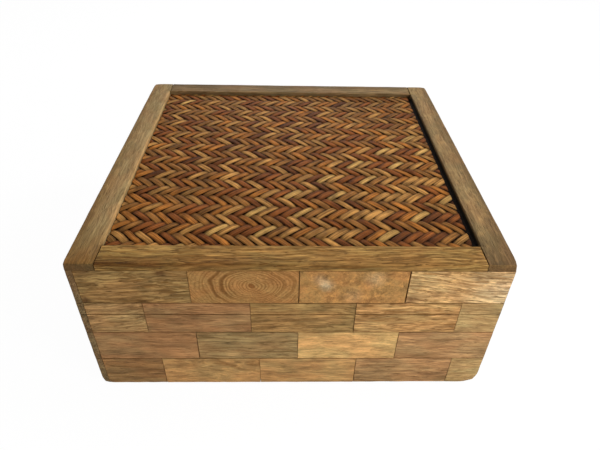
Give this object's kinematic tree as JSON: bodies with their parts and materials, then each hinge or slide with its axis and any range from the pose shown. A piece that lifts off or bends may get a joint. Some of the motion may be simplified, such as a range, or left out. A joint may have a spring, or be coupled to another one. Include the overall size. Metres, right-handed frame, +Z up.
{
  "type": "storage box",
  "caption": "Square low wooden storage box clad in staggered block tiles, with a hinged lid: a plank frame round a herringbone woven panel.",
  "frame": {"origin": "middle of the underside, on the surface that the box stands on", "axes": "+Z up, -Y out of the front face, +Y towards the hinges, +X to the right seen from the front"},
  "size_m": [0.3, 0.3, 0.127],
  "materials": {
    "tile_wood": "waxed reclaimed hardwood blocks, each of its own tone",
    "rail_wood": "waxed planed hardwood with dark streaks",
    "carcass_wood": "plain sanded board",
    "woven_strands": "split cane strands, tan to dark brown, slight gloss",
    "hinge_brass": "brushed brass, lightly tarnished",
    "pin_steel": "bright drawn wire"
  },
  "bodies": {
    "body": {"base_board": "carcass_wood", "front_wall": "carcass_wood", "right_wall": "carcass_wood", "back_wall": "carcass_wood", "left_wall": "carcass_wood", "front_tiles_bottom": "tile_wood", "front_tiles_second": "tile_wood", "front_tiles_third_lower": "tile_wood", "right_tiles_bottom": "tile_wood", "right_tiles_second": "tile_wood", "right_tiles_third_lower": "tile_wood", "back_tiles_bottom": "tile_wood", "back_tiles_second": "tile_wood", "back_tiles_third_lower": "tile_wood", "left_tiles_bottom": "tile_wood", "left_tiles_second": "tile_wood", "left_tiles_third_lower": "tile_wood", "left_hinge_body_leaf": "hinge_brass", "right_hinge_body_leaf": "hinge_brass", "left_hinge_pin": "pin_steel", "right_hinge_pin": "pin_steel", "left_hinge_body_screw_1": "hinge_brass", "left_hinge_body_screw_2": "hinge_brass", "right_hinge_body_screw_1": "hinge_brass", "right_hinge_body_screw_2": "hinge_brass"},
    "lid": {"lid_board": "carcass_wood", "lid_front_wall": "carcass_wood", "lid_right_wall": "carcass_wood", "lid_back_wall": "carcass_wood", "lid_left_wall": "carcass_wood", "front_tiles_third_upper": "tile_wood", "front_tiles_top": "tile_wood", "right_tiles_third_upper": "tile_wood", "right_tiles_top": "tile_wood", "back_tiles_third_upper": "tile_wood", "back_tiles_top": "tile_wood", "left_tiles_third_upper": "tile_wood", "left_tiles_top": "tile_wood", "left_rail": "rail_wood", "right_rail": "rail_wood", "front_rail": "rail_wood", "back_rail": "rail_wood", "woven_mat": "woven_strands", "left_hinge_lid_leaf": "hinge_brass", "right_hinge_lid_leaf": "hinge_brass", "left_hinge_lid_screw_1": "hinge_brass", "left_hinge_lid_screw_2": "hinge_brass", "right_hinge_lid_screw_1": "hinge_brass", "right_hinge_lid_screw_2": "hinge_brass"}
  },
  "joints": [
    {"name": "lid_hinge", "type": "hinge", "parent": "body", "child": "lid", "pos_m": [0, 0.1475, 0.0793], "axis": [-1, 0, 0], "range_deg": [0, 100]}
  ]
}
